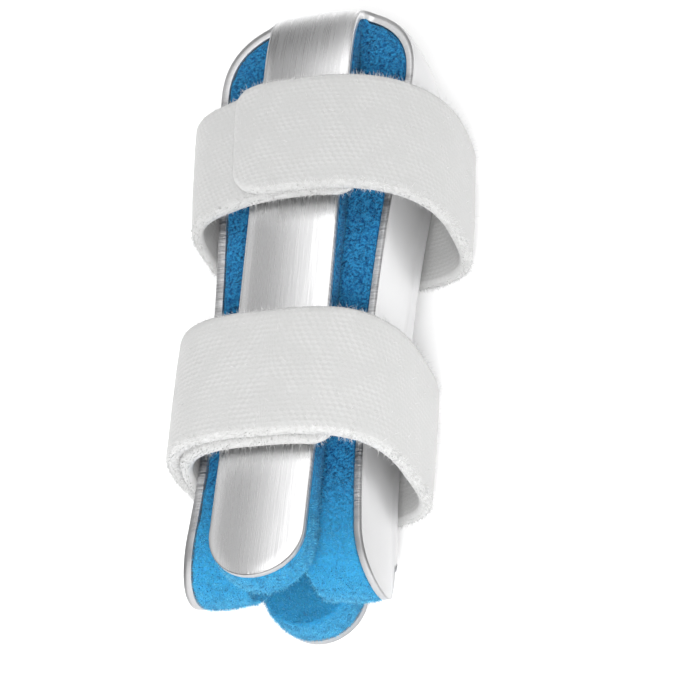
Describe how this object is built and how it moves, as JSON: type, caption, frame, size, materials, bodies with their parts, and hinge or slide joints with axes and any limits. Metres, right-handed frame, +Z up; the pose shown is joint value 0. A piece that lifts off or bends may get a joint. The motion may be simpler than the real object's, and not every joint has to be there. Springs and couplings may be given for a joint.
{
  "type": "finger splint",
  "caption": "Fold-over finger splint: a U-shaped aluminium plate lined with foam, folded over the fingertip and held by lapped hook-and-loop straps.",
  "frame": {"origin": "on the floor under the middle of the splint as it lies on its back", "axes": "+Y runs along the splint towards the folded fingertip end, +Z points up from the back to the front strip, +X points to the side where the straps aren't lapped"},
  "size_m": [0.043, 0.0996, 0.0348],
  "materials": {
    "aluminium": "brushed along its length, with bright cut edges",
    "foam": "matt blue foam with a fine brushed face",
    "strap": "matt white hook-and-loop tape with fine rows of loops"
  },
  "bodies": {
    "root": {"splint_plate": "aluminium", "foam_lining": "foam", "upper_strap": "strap", "lower_strap": "strap"}
  },
  "joints": []
}
